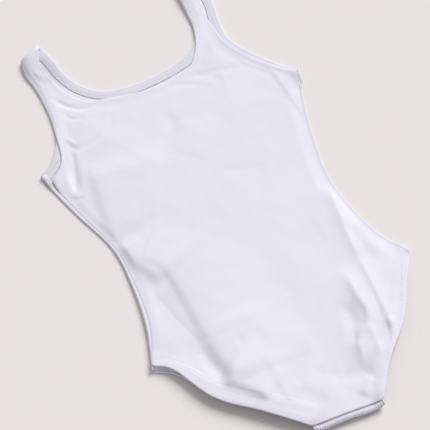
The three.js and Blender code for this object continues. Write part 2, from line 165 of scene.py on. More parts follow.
def layPanel(cut, steps=24):  # the panel's net in plan, its faces, and its edges as rows of points
    cells = cut["cells"]
    side, arm, leg = [[smoothLine([row[2 * hand:2 * hand + 2] for row in cut[key]], steps) for hand in (0, 1)]
                      for key in ("side", "arm", "leg")]
    neckPoints = [row[:2] for row in cut["neck"]] + [row[2:] for row in cut["neck"]][-2::-1]
    neck = smoothLine(neckPoints, steps)
    armRoot, neckRoot = [layout["strapFrom"][key] * steps for key in ("arm", "neck")]
    neckLast = (len(neckPoints) - 1) * steps
    hipWeights = np.ones(cells["hip"])
    hipWeights[:cells["hip"] // 6] = layout["closeHip"]
    armWeights = np.ones(cells["arm"])
    armWeights[-cells["arm"] // 6:] = layout["closeArm"]
    uprights = [np.vstack([alongLine(side[h], hipWeights), alongLine(arm[h][:armRoot + 1], armWeights)[1:]])
                for h in (0, 1)]
    legs = [alongLine(leg[h], np.ones(cells["leg"])) for h in (0, 1)]
    crotch = np.linspace(legs[0][-1], legs[1][-1], cells["crotch"] + 1)
    bottom = np.vstack([legs[0], crotch[1:-1], legs[1][::-1]])
    scoop = alongLine(neck[neckRoot:neckLast - neckRoot + 1], np.ones(2 * cells["neckHalf"]))
    wide = cells["strapWide"]
    top = np.vstack([np.linspace(uprights[0][-1], scoop[0], wide + 1)[:-1], scoop,
                     np.linspace(scoop[-1], uprights[1][-1], wide + 1)[1:]])
    s, t = [sum(sharesOf(row) for row in pair) / 2 for pair in ((top, bottom), uprights)]
    s, t = s[None, :, None], t[:, None, None]
    lower, upper = bottom[None], top[None]
    left, right = uprights[0][:, None], uprights[1][:, None]
    corners = (bottom[0] * (1 - s) + bottom[-1] * s) * (1 - t) + (top[0] * (1 - s) + top[-1] * s) * t
    net = lower * (1 - t) + upper * t + left * (1 - s) + right * s - corners
    rows, columns = net.shape[0] - 1, net.shape[1] - 1
    plan = [net.reshape(-1, 2)]
    number = numbersOf(rows + 1, columns + 1)
    faces = [quads(number)]
    straps = []
    strapWeights = np.ones(cells["strap"])
    for hand in (0, 1):
        outer = alongLine(arm[hand][armRoot:], strapWeights)
        inner = alongLine(neck[:neckRoot + 1], strapWeights)[::-1] if hand == 0 \
            else alongLine(neck[neckLast - neckRoot:], strapWeights)
        ends = (outer, inner) if hand == 0 else (inner, outer)
        strip = np.linspace(ends[0][1:], ends[1][1:], wide + 1, axis=1)
        first = sum(len(part) for part in plan)
        plan.append(strip.reshape(-1, 2))
        root = number[-1, :wide + 1] if hand == 0 else number[-1, columns - wide:]
        grid = np.vstack([root, numbersOf(strip.shape[0], wide + 1, first)])
        faces.append(quads(grid))
        straps.append(grid)
    hip = cells["hip"]
    edges = {
        "leg_left": number[0, :cells["leg"] + 1],
        "crotch": number[0, cells["leg"]:columns - cells["leg"] + 1],
        "leg_right": number[0, columns - cells["leg"]:][::-1],
        "side_left": number[:hip + 1, 0],
        "side_right": number[:hip + 1, -1],
        "armhole_left": np.concatenate([number[hip:, 0], straps[0][1:, 0]]),
        "armhole_right": np.concatenate([number[hip:, -1], straps[1][1:, -1]]),
        "neck": np.concatenate([straps[0][:0:-1, -1], number[-1, wide:columns - wide + 1], straps[1][1:, 0]]),
        "shoulder_left": straps[0][-1],
        "shoulder_right": straps[1][-1],
    }
    plan = np.vstack(plan)
    lines = {name: plan[ids] for name, ids in edges.items()}
    return {"plan": plan, "faces": np.vstack(faces), "edges": edges, "lines": lines}


front, back = layPanel(frontCut), layPanel(backCut)
# the hemmed edges, and the edges that each ends at
endsAt = {"neck": ("shoulder_left", "shoulder_right"), "armhole_left": ("side_left", "shoulder_left"),
          "armhole_right": ("side_right", "shoulder_right"), "leg_left": ("side_left", "crotch"),
          "leg_right": ("side_right", "crotch")}
hemNames = tuple(endsAt)
print("nets laid:", len(front["faces"]), "and", len(back["faces"]), "cells")


def hemDistance(panel, places):  # distance to the nearest turned hem, and the length along it
    found = [nearestOn(panel["lines"][name], places) for name in hemNames]
    gaps = np.array([gap for gap, _ in found])
    best = gaps.argmin(0)
    runs = np.array([run for _, run in found])
    return gaps.min(0), runs[best, np.arange(len(places))]


def legLift(panel, cut, places):
    lifts = []
    for hand, name in enumerate(("leg_left", "leg_right")):
        line = alongLine(panel["lines"][name], np.ones(70))
        marks = nearestOn(line, np.array([row[2 * hand:2 * hand + 2] for row in cut["leg"]], float))[1]
        heights = np.interp(runsOf(line), marks, [row[hand] for row in cut["legLift"]])
        square = ((places[:, None] - line[None]) ** 2).sum(2)
        near = (square + 4) ** -3.0  # all of the hem counts, the nearest parts of it most
        near /= near.sum(1)[:, None]
        gap = (near * np.sqrt(square)).sum(1)
        lifts.append(near @ heights * (1 - smoothStep(gap, 0, cut["legRun"])))
    return np.maximum(*lifts)


# creases of the front panel: (name, form, height, size, the points of its line).
# A soft one's size is its half width. A step rises to its side, and its size is its half width and how far
# it takes to sink back. A crest, or a furrow, is sharp, and its size is its slope's length left and right.
frontCreases = [
    ("hip valley", "step left", 3.3, (5.2, 50), [(-103, -2), (-98, -20), (-92, -34), (-87, -45), (-82, -59)]),
    ("hip valley roof", "step left", 0.7, (3.5, 40), [(-89, -25), (-81, -33), (-74, -44)]),
    ("belly edge", "step left", 1.9, (3.6, 60), [(-78, -35), (-74, -47), (-72, -64), (-71, -82), (-71, -98),
         (-71, -112), (-71, -126)]),
    ("belly edge low", "step left", 2.9, (5.5, 60), [(-72, -109), (-71, -126), (-70, -143), (-68, -158),
         (-68, -175)]),
    ("left hip ridge", "step right", 0.5, (7.0, 22), [(-96, -45), (-96, -69), (-96, -94), (-93, -117),
         (-89, -138), (-84, -158)]),
    ("left hip furrow", "crest", -1.0, (6, 24), [(-92, -56), (-88, -75), (-84, -96), (-79, -115),
         (-75, -135)]),
    ("left leg trough", "soft", -1.3, 6.0, [(-77, -127), (-76, -143), (-73, -158), (-72, -172)]),
    ("hem pockets", "step left", 3.6, (3.4, 34), [(-78, -164), (-70, -172.5), (-61.5, -180.5), (-54, -189),
         (-46, -201)]),
    ("low left line", "step left", 0.55, (2.6, 20), [(-33, -157), (-34, -172), (-34, -189), (-32, -206)]),
    ("low middle line", "step right", 0.7, (2.4, 7), [(-15, -197), (-23, -203), (-33, -208)]),
    ("low belly hollow", "soft", -0.45, 8, [(-50, -139), (-36, -139.5), (-22, -142)]),
    ("right hip crest", "crest", 2.4, (13, 8), [(100, -23), (96, -39), (92, -61), (88, -88), (85, -113)]),
    ("right hip crest low", "crest", 1.6, (9, 3.4), [(86, -103), (85, -124), (83, -143), (81, -163),
         (77, -182), (74, -190)]),
    ("right leg soft trough", "soft", -0.8, 6.0, [(95, -70), (96, -95), (96, -118)]),
    ("right hip pocket", "step left", 2.6, (1.5, 8), [(78, -170), (76, -183), (73, -191), (67, -196),
         (58, -203)]),
    ("belly line", "step left", 0.5, (4, 14), [(68, -46), (68, -65), (68, -82)]),
    ("right leg edge", "crest", 3.5, (16, 5.5), [(69, -113), (67, -125), (66, -136), (66, -147), (67, -157),
         (64, -166), (59, -172), (52, -175), (46, -183), (42, -195), (39, -208)]),
    ("right leg hollow", "soft", -1.3, 6.0, [(54, -143), (52, -154), (50, -164), (47, -173), (41, -184)]),
    ("right thin line", "crest", 0.9, (3, 4), [(60, -170), (60, -181), (59, -192), (57, -204)]),
    ("right outer line", "soft", -0.4, 1.8, [(81, -141), (78, -157), (73, -172)]),
    ("crotch hollow", "crest", -2.0, (16, 45), [(-6, -185), (7, -196), (20, -206), (33, -212), (52, -216)]),
    ("crotch hollow tip", "crest", -0.7, (4, 8), [(19, -200), (32, -207), (45, -214)]),
    ("crotch end pocket", "crest", 1.3, (3, 6), [(42, -216), (34, -221), (25, -228)]),
    ("crotch left crease", "step left", 1.2, (5, 30), [(-19, -196), (-10, -207), (0, -220)]),
    ("left armhole trough", "soft", -2.2, 3.8, [(-102, 115), (-103, 97), (-106, 79), (-113, 60)]),
    ("left armhole roll", "soft", 0.5, 3.4, [(-106, 112), (-111, 92), (-116, 71)]),
    ("underarm pocket", "soft", -0.7, 2.2, [(-119, 62), (-114, 56), (-106, 55)]),
    ("left chest edge", "step left", 2.4, (5.5, 60), [(-92, 91), (-94, 70), (-97, 48), (-100, 24),
         (-101, -5)]),
    ("chest curl", "soft", -0.5, 2.8, [(-99, 120), (-96, 112), (-90, 107), (-77, 108), (-64, 112), (-54, 120),
         (-43, 138)]),
    ("chest curl root", "soft", -0.9, 1.8, [(-100, 119), (-97, 111), (-90, 107)]),
    ("armhole nick", "soft", 0.8, 1.8, [(-99, 126), (-95, 118), (-91, 112)]),
    ("chest flank", "step right", 0.4, (4, 12), [(-42, 142), (-48, 127), (-58, 115), (-71, 110)]),
    ("neck crease", "soft", -1.3, 2.4, [(-93, 173), (-85, 160), (-75, 151), (-62, 148), (-50, 147)]),
    ("neck crease rise", "soft", 0.6, 2.2, [(-69, 156), (-59, 151), (-48, 150)]),
    ("strap tuck", "soft", -0.6, 2.0, [(-89, 148), (-82, 140), (-71, 138)]),
    ("strap crease", "soft", -2.0, 1.8, [(-96, 195), (-89, 188), (-80, 184)]),
    ("strap blade", "soft", 1.7, 2.4, [(-96, 206), (-87, 196), (-76, 188)]),
    ("strap rise", "step left", 4.2, (6, 30), [(-82, 241), (-79, 215), (-78, 192), (-77, 172)]),
    ("right chest step", "step left", 0.8, (1.5, 14), [(102, 137), (108, 122), (110, 106), (111, 82),
         (113, 63), (114, 45), (112, 8)]),
    ("right chest edge", "soft", 0.2, 2.4, [(117, 103), (119, 78), (119, 58)]),
    ("right chest blade", "soft", 0.3, 2.0, [(89, 136), (94, 128), (99, 121)]),
    ("neck tug low", "soft", -0.35, 2.4, [(18, 137), (30, 131), (41, 125), (52, 117)]),
    ("neck tug", "soft", -0.35, 3.4, [(40, 138), (56, 129), (63, 117)]),
    ("neck tug long", "soft", -0.55, 3.2, [(33, 139), (61, 134), (90, 128)]),
    ("neck tug rise", "soft", 0.2, 5.0, [(38, 127), (54, 124), (70, 123)]),
    ("chest hollow", "soft", -0.8, 7, [(2, 111), (-4, 89), (-19, 72), (-35, 62)]),
    ("chest hollow low", "soft", -0.4, 5, [(17, 26), (38, 20), (56, 15)]),
    ("chest rise", "soft", 0.5, 12, [(16, 94), (8, 70), (-6, 54)]),
]

# and of the back panel, which only rise from where it rests
backCreases = [
    ("waist", "soft", 0.5, 6, [(-60, 20), (-20, 10), (25, 14)]),
    ("low waist", "soft", 0.4, 5, [(-30, -8), (15, -14), (62, -6)]),
    ("left hip", "soft", 0.6, 5, [(-86, -60), (-74, -90), (-56, -116)]),
    ("right hip", "soft", 0.6, 5, [(84, -66), (70, -98), (50, -120)]),
    ("seat", "soft", 0.5, 7, [(-30, -148), (0, -158), (32, -150)]),
    ("left shoulder blade", "soft", 0.45, 6, [(-62, 118), (-44, 95), (-32, 68)]),
    ("right shoulder blade", "soft", 0.4, 6, [(60, 122), (48, 100), (28, 82)]),
]


def besideLine(line, places):  # distance to a line, above zero on its left, and the length along it
    gap, along = nearestOn(line, places)
    run = runsOf(line)
    before, at, after = [spotsOn(line, run, along + step) for step in (-1, 0, 1)]
    way, off = after - before, places - at
    return gap * np.where(way[:, 0] * off[:, 1] - way[:, 1] * off[:, 0] < 0, -1, 1), along


crestRound = 0.8  # how far to each side the top of a crest is rounded


def creases(table, places, ends=0.22):  # sum of the creases' heights at each place, fading at their ends
    height = np.zeros(len(places))
    for _, kind, high, size, points in table:
        line = smoothLine(points, 8)
        gap, run = besideLine(line, places)
        share = run / runsOf(line)[-1]
        fade = smoothStep(share, -0.02, ends) * (1 - smoothStep(share, 1 - ends, 1.02))
        if kind == "crest":
            form = np.exp(-(np.hypot(gap, crestRound) - crestRound) / np.where(gap > 0, *size))
        elif kind == "soft":
            form = np.exp(-(gap / size) ** 2)
        else:
            gap = gap if kind == "step left" else -gap
            form = 1 / (1 + np.exp(-2.2 * np.clip(gap / size[0], -12, 12)))
            form *= np.exp(-(np.maximum(gap, 0) / size[1]) ** 2)
        height += high * fade * form
    return height


def softNoise(places, size, seed, octaves=3):  # slow unevenness that cloth has between its creases
    rng = np.random.default_rng(seed)
    total = np.zeros(len(places))
    for k in range(octaves):
        for _ in range(5):
            angle, phase = rng.uniform(0, 2 * math.pi, 2)
            wave = 2 * math.pi / (size / 1.9 ** k * rng.uniform(0.75, 1.3))
            u = places @ np.array([math.cos(angle), math.sin(angle)])
            v = places @ np.array([-math.sin(angle), math.cos(angle)])
            total += np.sin(u * wave + 1.3 * np.sin(v * wave * 0.6 + phase)) / 1.8 ** k
    return total / 5


stack = {
    "sidePuff": 1.7, "sideRun": 15, "leftReach": 42,  # the front rises off the back inside a side seam
    # beside the left seam: (Y, how high it rises, over how far)
    "leftPuff": [(-125, 0.8, 7), (-75, 0.9, 8), (-45, 1.3, 9), (-20, 1.4, 9), (10, 1.3, 9), (40, 1.3, 9),
                 (66, 2.3, 12), (84, 2.2, 12)],
    "strapRise": 3.6, "strapRun": (2, 30),  # the left strap's end stands up
    "hemLoft": 0.05, "hemRun": (5, 17),  # share of these rises left at a hem, and where it grows to the whole
    "bodyPuff": 2.3, "bodyRun": (8, 85),
    "leftRise": 0.5, "leftRun": 10,  # the left seam stands a little on the rolled edge of the back
    "crotchRise": 3.4, "crotchRun": 74,
    # where the front reaches past the back it sinks, up from the first of these Ys
    "leftDroop": 0.6, "rightDroop": 0.3, "droopShare": 0.5, "droopRun": 4, "droopFrom": (95, 125),
    "sewnDown": [(3.5, 8.2, 0.42), (8.4, 9.0, 0.3)],  # (from, to, how much thinner a turned hem gets)
    "turnedRun": (5, 17),  # inside a hem, where the front sinks from its thickness onto the back
    "clearance": 0.1,  # between the two panels
    "unevenness": 0.3, "calmHem": (2, 11), "calmSide": (0, 8),
    # where both panels stand off the floor: (X, Y, over how far, how high)
    "offFloor": [(80, 236, 24, 3.2), (-128, 86, 13, 1.3)],
}
radius = layout["foldRadius"]
noHem = 30  # a distance to the hem past all of its grooves

# where the cloth is painted darker: painted shade over the left strap's end, and threads, cut ends and
# painted shade at the seams' ends: (X, Y, over how far, how much)
shadeAndThreadSpots = [(-123, 97, 11, 0.24), (-127, 82, 7, 0.3), (128, 98, 7, 0.28), (-93, 220, 17, 0.28),
             (-85, 199, 20, 0.24), (-21, -233, 5, 0.3), (35, -236, 5, 0.3), (128.5, -120, 3, 0.35)]


def backMiddle(places):  # middle of the back panel's wall: flat where it rests, lifted at the legs
    height = layout["wall"] / 2 + layout["stitchRoom"] + legLift(back, backCut, places)
    for x, y, far, high in stack["offFloor"]:
        height += high * around(places, x, y, far)
    return height


def hemPress(distance):  # how far apart a hem's layers are: full at its fold, less where it is sewn down
    return 1 - sum(less * smoothStep(distance, low, high) for low, high, less in stack["sewnDown"])


def hemLayers(panel, places):  # thickness of the turned hem at each place, as a share of its fold's
    distance = hemDistance(panel, places)[0]
    return hemPress(distance) * (1 - smoothStep(distance, layout["stitchRows"][1], stack["turnedRun"][1]))


def outsideOf(panel, places):  # how far outside a panel each place lies, below zero inside it
    best, found = np.full(len(places), 1e9), np.zeros(len(places))
    for name, line in panel["lines"].items():
        gap = besideLine(line, places)[0]
        nearer = np.abs(gap) < best
        best[nearer] = np.abs(gap)[nearer]
        found[nearer] = -anticlockwise[name] * gap[nearer]
    return found


def frontMiddle(places):  # the front lies on the back and its hems, and puffs up between its edges
    left = nearestOn(front["lines"]["side_left"], places)[0]
    right = nearestOn(front["lines"]["side_right"], places)[0]
    side = np.minimum(left, right)
    hem = hemDistance(front, places)[0]
    crotch = nearestOn(front["lines"]["crotch"], places)[0]
    turned = 2 * radius * (1 - smoothStep(hem, *stack["turnedRun"]) + hemLayers(back, places))
    off = smoothStep(outsideOf(back, places), 0, stack["droopRun"])
    off *= np.where(places[:, 0] > 0, stack["rightDroop"], stack["leftDroop"])
    off *= smoothStep(places[:, 1], *stack["droopFrom"])
    lying = backMiddle(places) + (layout["wall"] + stack["clearance"]) * (1 - off)
    lying += turned * (1 - off * stack["droopShare"])
    share = stack["hemLoft"] + (1 - stack["hemLoft"]) * smoothStep(hem, *stack["hemRun"])
    marks = np.array(stack["leftPuff"])
    leftPuff, leftRun = [np.interp(places[:, 1], marks[:, 0], marks[:, k]) for k in (1, 2)]
    nearLeft = smoothStep(left / leftRun, 0, 1)
    puff = stack["sidePuff"] * smoothStep(right, 0, stack["sideRun"]) * nearLeft
    puff += (leftPuff - stack["sidePuff"]) * nearLeft * np.exp(-(left / stack["leftReach"]) ** 2)
    puff = puff * share + stack["bodyPuff"] * smoothStep(np.minimum(side, hem), *stack["bodyRun"]) \
        + stack["leftRise"] * (1 - smoothStep(left, 0, stack["leftRun"])) * smoothStep(hem, -4, 16) \
        + stack["crotchRise"] * (1 - smoothStep(crotch, 0, stack["crotchRun"]))
    shoulder = nearestOn(front["lines"]["shoulder_left"], places)[0]
    puff += stack["strapRise"] * (1 - smoothStep(shoulder, *stack["strapRun"])) * smoothStep(hem, -6, 7)
    calm = 0.3 + 0.7 * smoothStep(hem, *stack["calmHem"])  # creases are weaker by the hems and the seams
    calm *= 0.25 + 0.75 * smoothStep(side, *stack["calmSide"])
    uneven = creases(frontCreases, places) + stack["unevenness"] * softNoise(places, 70, 3)
    lift = np.maximum(legLift(front, frontCut, places) - legLift(back, backCut, places), 0)
    above = puff + lift + uneven * calm
    return lying + (above + np.sqrt(above ** 2 + 0.06)) / 2 - 0.1  # softly stopped at what lies below


def restUnder(places):  # top of what lies under the front: the floor, the back's cloth or its turned hem
    distance = hemDistance(back, places)[0]
    hem = 2 * radius * hemPress(distance) * (1 - smoothStep(distance, 8.6, 9.6))
    on = 1 - smoothStep(outsideOf(back, places), -0.2, 1.4)
    return (backMiddle(places) + layout["wall"] / 2 + hem) * on


# cloth from a net: skirts turn its edges over, Solidify gives it its thickness
def turnedEdge(panel, name, profile):  # rings beyond an edge, each (outwards, up) from it
    ids = panel["edges"][name]
    line = panel["points"][ids]
    out = outwardOf(name, line)
    before = ids
    for outwards, up in profile:
        outwards, up = np.broadcast_to(outwards, len(ids)), np.broadcast_to(up, len(ids))
        ring = np.column_stack([line[:, :2] + out * outwards[:, None], line[:, 2] + up])
        now = len(panel["points"]) + np.arange(len(ids))
        panel["points"] = np.vstack([panel["points"], ring])
        quad = np.stack([before[1:], before[:-1], now[:-1], now[1:]], -1)
        if anticlockwise[name] < 0:
            quad = quad[:, ::-1]
        panel["faces"] = np.vstack([panel["faces"], quad])
        before = now
    return before


def closeSeam(panel, name, other, last, bulge, crest, steps=12):  # carries an edge up to the other's seam
    line, goal = panel["points"][panel["edges"][name]], other["points"][last]
    rise = spotsOn(goal, sharesOf(goal), sharesOf(line)) - line
    out = outwardOf(name, line)
    profile = []
    for k in range(1, steps + 1):
        t = k / steps
        inwards = float(smoothStep(t, 0.25, 1))
        upwards = float(smoothStep(t, 0, 0.55))
        outwards = bulge * math.sin(math.pi * min(t / 0.55, 1))
        over = crest * math.sin(math.pi * max(t - 0.15, 0) / 0.85)
        profile.append((np.sum(rise[:, :2] * out, axis=1) * inwards + outwards, rise[:, 2] * upwards + over))
    turnedEdge(panel, name, profile)


def arc(size, end, steps):  # a turn as (outwards, up) pairs, from the edge to that angle
    angles = np.radians(np.linspace(0, end, steps + 1)[1:])
    return [(size * math.sin(a), size * (math.cos(a) - 1)) for a in angles]


def asMesh(name, points, faces, material, wall=None):
    mesh = bpy.data.meshes.new(name)
    place = np.array(points, float) + (0, layout["originY"], 0)
    mesh.from_pydata((place * mm).tolist(), [], np.asarray(faces).tolist())
    mesh.update()
    piece = bpy.data.objects.new(name, mesh)
    bpy.context.scene.collection.objects.link(piece)
    bpy.ops.object.select_all(action="DESELECT")
    bpy.context.view_layer.objects.active = piece
    piece.select_set(True)
    bpy.ops.object.mode_set(mode="EDIT")
    bpy.ops.mesh.select_all(action="SELECT")
    bpy.ops.mesh.remove_doubles(threshold=0.004 * mm)
    bpy.ops.object.mode_set(mode="OBJECT")
    if wall:
        thicken = piece.modifiers.new("wall", "SOLIDIFY")
        thicken.thickness = wall * mm
        thicken.offset = 0
        bpy.ops.object.modifier_apply(modifier=thicken.name)
    bpy.ops.object.shade_smooth()
    piece.data.materials.append(material)
    piece.select_set(False)
    return piece


def storeNumbers(piece, name, values):
    layer = piece.data.attributes.new(name, "FLOAT", "POINT")
    layer.data.foreach_set("value", np.asarray(values, np.float32))


def storeHem(piece, gap, run):  # distance to the hem's edge and the length along it, for the finish
    storeNumbers(piece, "hemDistance", np.broadcast_to(gap, len(piece.data.vertices)))
    storeNumbers(piece, "hemRun", run)


def storeShade(piece, more=0.0):  # how much darker the cloth is painted: painted shade and thread tone at the spots, plus the painted shade given in more
    places = placesOf(piece)
    shade = more + np.zeros(len(places))
    for x, y, far, much in shadeAndThreadSpots:
        shade += much * around(places, x, y, far)
    storeNumbers(piece, "paintedShadeAndThreads", shade)


def placesOf(piece):  # a mesh's vertices, in the tables' millimetres
    co = np.empty(len(piece.data.vertices) * 3)
    piece.data.vertices.foreach_get("co", co)
    return co.reshape(-1, 3) / mm - (0, layout["originY"], 0)


def layMap(piece, size=300):  # a map of the cloth as cut, one unit for every 300 mm
    places = placesOf(piece)
    loops = np.empty(len(piece.data.loops), np.int32)
    piece.data.loops.foreach_get("vertex_index", loops)
    layer = piece.data.uv_layers.new(name="cloth")
    layer.data.foreach_set("uv", (places[loops, :2] / size).astype(np.float32).ravel())


# finishes
def setSockets(node, **values):
    for socket, value in values.items():
        node.inputs[socket.replace("_", " ")].default_value = value


def startFinish(name, **settings):
    material = bpy.data.materials.new(name)
    material.use_nodes = True
    nodes, links = material.node_tree.nodes, material.node_tree.links
    shader = nodes["Principled BSDF"]
    setSockets(shader, **settings)
    return material, nodes, links, shader


def clothMaterial(name, colour, shade, bands, roughness=0.88, sheen=0.12):
    material, nodes, links, shader = startFinish(name, Roughness=roughness, Sheen_Weight=sheen,
                                                 Sheen_Roughness=0.5, Specular_IOR_Level=0.25)

    def node(kind, **values):
        made = nodes.new(kind)
        for key, value in values.items():
            setattr(made, key, value)
        return made

    def maths(operation, a, b):
        made = node("ShaderNodeMath", operation=operation)
        for socket, value in zip(made.inputs, (a, b)):
            if isinstance(value, (int, float)):
                socket.default_value = value
            else:
                links.new(value, socket)
        return made.outputs[0]

    def spread(value, limits, **values):
        made = node("ShaderNodeMapRange", **values)
        links.new(value, made.inputs["Value"])
        for socket, limit in zip(("From Min", "From Max", "To Min", "To Max"), limits):
            made.inputs[socket].default_value = limit
        return made.outputs["Result"]

    place = node("ShaderNodeTexCoord").outputs["Object"]
    hem = node("ShaderNodeAttribute", attribute_name="hemDistance").outputs["Fac"]
    run = node("ShaderNodeAttribute", attribute_name="hemRun").outputs["Fac"]

    def noise(scale, detail, rough=0.5):
        made = node("ShaderNodeTexNoise")
        setSockets(made, Scale=scale, Detail=detail, Roughness=rough)
        links.new(place, made.inputs["Vector"])
        return made.outputs["Fac"]

    # the hem's cross-section: grooves at the two needle rows and a step where the turned cloth ends
    profile = node("ShaderNodeFloatCurve")
    curve = profile.mapping.curves[0]
    for k, (at, height) in enumerate(bands):
        if k < 2:
            curve.points[k].location = (at / 20, height)
        else:
            curve.points.new(at / 20, height)
    profile.mapping.update()
    links.new(maths("DIVIDE", hem, 20.0), profile.inputs["Value"])
    # small puckers along the elastic
    ripple = node("ShaderNodeTexNoise", noise_dimensions="1D")
    links.new(maths("MULTIPLY", run, 0.42), ripple.inputs["W"])
    setSockets(ripple, Scale=1.0, Detail=2.0)
    near = spread(hem, (1.0, 13.0, 0.55, 0.0), interpolation_type="SMOOTHSTEP")
    puckers = maths("MULTIPLY", ripple.outputs["Fac"], near)
    knit = maths("MULTIPLY", noise(1800.0, 2.0), 0.05)
    slubs = maths("MULTIPLY", noise(160.0, 3.0), 0.22)
    height = maths("ADD", maths("ADD", profile.outputs["Value"], puckers), maths("ADD", knit, slubs))
    bump = node("ShaderNodeBump")
    setSockets(bump, Distance=0.0004, Strength=0.7)
    links.new(height, bump.inputs["Height"])
    links.new(bump.outputs["Normal"], shader.inputs["Normal"])
    # colour: painted shade in the stitch grooves, where the hem's cross-section is low, and uneven tone over
    # the cloth
    tint = node("ShaderNodeMix", data_type="RGBA")
    setSockets(tint, A=(*shade, 1), B=(*colour, 1))
    mottle = spread(noise(45.0, 3.0, 0.6), (0.3, 0.7, 0.8, 1.0))
    seam = node("ShaderNodeAttribute", attribute_name="paintedShadeAndThreads").outputs["Fac"]
    groove = maths("MULTIPLY", profile.outputs["Value"], 2.0)
    uneven = maths("MULTIPLY", mottle, maths("MINIMUM", groove, 1.0))
    links.new(uneven, tint.inputs["Factor"])
    # painted shade, with the threads' tone at the seam ends: darker where the stored spots and side seams
    # mark the cloth
    paintedShadeMix = node("ShaderNodeMix", data_type="RGBA")
    setSockets(paintedShadeMix, B=(*[part * 0.55 for part in shade], 1))
    links.new(tint.outputs["Result"], paintedShadeMix.inputs["A"])
    links.new(seam, paintedShadeMix.inputs["Factor"])
    links.new(paintedShadeMix.outputs["Result"], shader.inputs["Base Color"])
    return material


# (distance from the hem's edge, height of the surface)
outsideBands = [(0, 0.52), (3.5, 0.56), (4.5, 0.55), (5.0, 0.47), (5.5, 0.55), (7.9, 0.55),
                (8.4, 0.46), (8.9, 0.53), (12, 0.5), (20, 0.5)]
insideBands = [(0, 0.6), (1.7, 0.6), (2.3, 0.34), (2.9, 0.6), (4.4, 0.6), (5.0, 0.34), (5.6, 0.6), (6.9, 0.6),
               (7.5, 0.34), (8.1, 0.56), (9.0, 0.5), (20, 0.5)]
whiteKnit = clothMaterial("white knit", (0.79, 0.785, 0.885), (0.72, 0.715, 0.82), outsideBands)
insideKnit = clothMaterial("inside of the knit", (0.75, 0.745, 0.83), (0.63, 0.625, 0.715), insideBands,
                           0.92, 0.08)


def threadMaterial(name, dark, light):
    material, nodes, links, shader = startFinish(name, Roughness=0.6, Sheen_Weight=0.1)
    twist = nodes.new("ShaderNodeTexNoise")
    setSockets(twist, Scale=900.0)
    links.new(nodes.new("ShaderNodeTexCoord").outputs["Object"], twist.inputs["Vector"])
    tint = nodes.new("ShaderNodeMix")
    tint.data_type = "RGBA"
    setSockets(tint, A=(*dark, 1), B=(*light, 1))
    links.new(twist.outputs["Fac"], tint.inputs["Factor"])
    links.new(tint.outputs["Result"], shader.inputs["Base Color"])
    return material


whiteThread = threadMaterial("white thread", (0.74, 0.73, 0.80), (0.84, 0.83, 0.90))

# panels
front["points"] = np.column_stack([front["plan"], frontMiddle(front["plan"])])
waves = creases(backCreases, back["plan"]) * smoothStep(hemDistance(back, back["plan"])[0], 10, 36)
back["points"] = np.column_stack([back["plan"], backMiddle(back["plan"]) + waves])
print("heights set")

turnedIn = 0.8  # how far a fold's end lies inside the edge
for name in hemNames:
    line = front["points"][front["edges"][name]]
    drop = np.full(len(line), 2 * radius)
    if not name.startswith("leg"):  # there the fold reaches down to what it lies on
        drop = np.maximum(line[:, 2] - restUnder(line[:, :2]) - layout["wall"] / 2 - 0.03, 1.0)
    angles = np.radians(np.linspace(0, 180, 9)[1:])
    profile = [(radius * math.sin(a), -drop * (1 - math.cos(a)) / 2) for a in angles]
    turnedEdge(front, name, profile + [(-turnedIn, -drop)])
    turnedEdge(back, name, [(o, -u) for o, u in arc(radius, 180, 5)] + [(-turnedIn, 2 * radius)])
turnedEdge(front, "crotch", arc(0.55, 120, 4))
# (seam, how the front's edge turns down, how far the back's bulges out, how high its crest is)
closings = [("side_left", arc(0.45, 95, 4), 0.35, 0.55), ("side_right", arc(0.35, 95, 4), 1.1, 0.25),
            ("shoulder_left", arc(0.8, 100, 5), 0.5, 0), ("shoulder_right", arc(0.8, 100, 5), 0.5, 0)]
for name, turn, bulge, crest in closings:
    closeSeam(back, name, front, turnedEdge(front, name, turn), bulge, crest)


# painted shade in the grooves beside the side seams: (panel, edge, how much darker, over how far)
sideSeamShade = [(back, "side_right", 0.3, 1.1), (front, "side_left", 0.35, 0.5)]


def finishPanel(name, panel):
    piece = asMesh(name, panel["points"], panel["faces"], whiteKnit, layout["wall"])
    places = placesOf(piece)[:, :2]
    gap, run = hemDistance(panel, places)
    storeHem(piece, np.minimum(gap, 40), run)
    storeShade(piece, sum(much * np.exp(-(nearestOn(seamed["lines"][edge], places)[0] / far) ** 2)
                          for seamed, edge, much, far in sideSeamShade))
    layMap(piece)
    return piece


frontPiece = finishPanel("front_cloth", front)
backPiece = finishPanel("back_cloth", back)
print("panels sewn:", len(frontPiece.data.polygons), len(backPiece.data.polygons))


# turned hems: strips of cloth under the front's edges and on the back's
strip = {"start": 0.4, "across": 12, "step": 1.7, "endRun": 14, "leastSlant": 0.35}


def hemStrip(name, panel, edge, middleOf, offset):
    line = alongLine(panel["lines"][edge], np.ones(int(runsOf(panel["lines"][edge])[-1] / strip["step"])))
    inward = -outwardOf(edge, line)
    run = runsOf(line)
    for end, near in zip(endsAt[edge], (run, run[-1] - run)):  # the strip's ends follow the seam there
        other = panel["lines"][end]
        corner = line[0] if near is run else line[-1]
        flip = np.linalg.norm(other[0] - corner) < np.linalg.norm(other[-1] - corner)
        ray = other[8] - other[0] if flip else other[-9] - other[-1]
        tip = inward[0] if near is run else inward[-1]
        ray = ray / max(ray @ tip, strip["leastSlant"] * np.linalg.norm(ray))
        weight = (1 - smoothStep(near, 0, strip["endRun"]))[:, None]
        inward = inward * (1 - weight) + ray * weight
    deep = np.linspace(strip["start"], layout["hemWidth"], strip["across"] + 1)
    plan = line[None] + inward[None] * deep[:, None, None]
    flat = plan.reshape(-1, 2)
    height = middleOf(flat) + offset * hemPress(np.repeat(deep, len(line)))
    faces = quads(numbersOf(*plan.shape[:2]))
    if anticlockwise[edge] < 0:
        faces = faces[:, ::-1]
    piece = asMesh(name, np.column_stack([flat, height]), faces, insideKnit, layout["wall"])
    storeHem(piece, *nearestOn(panel["lines"][edge], placesOf(piece)[:, :2]))
    storeShade(piece)
    layMap(piece)
    return piece


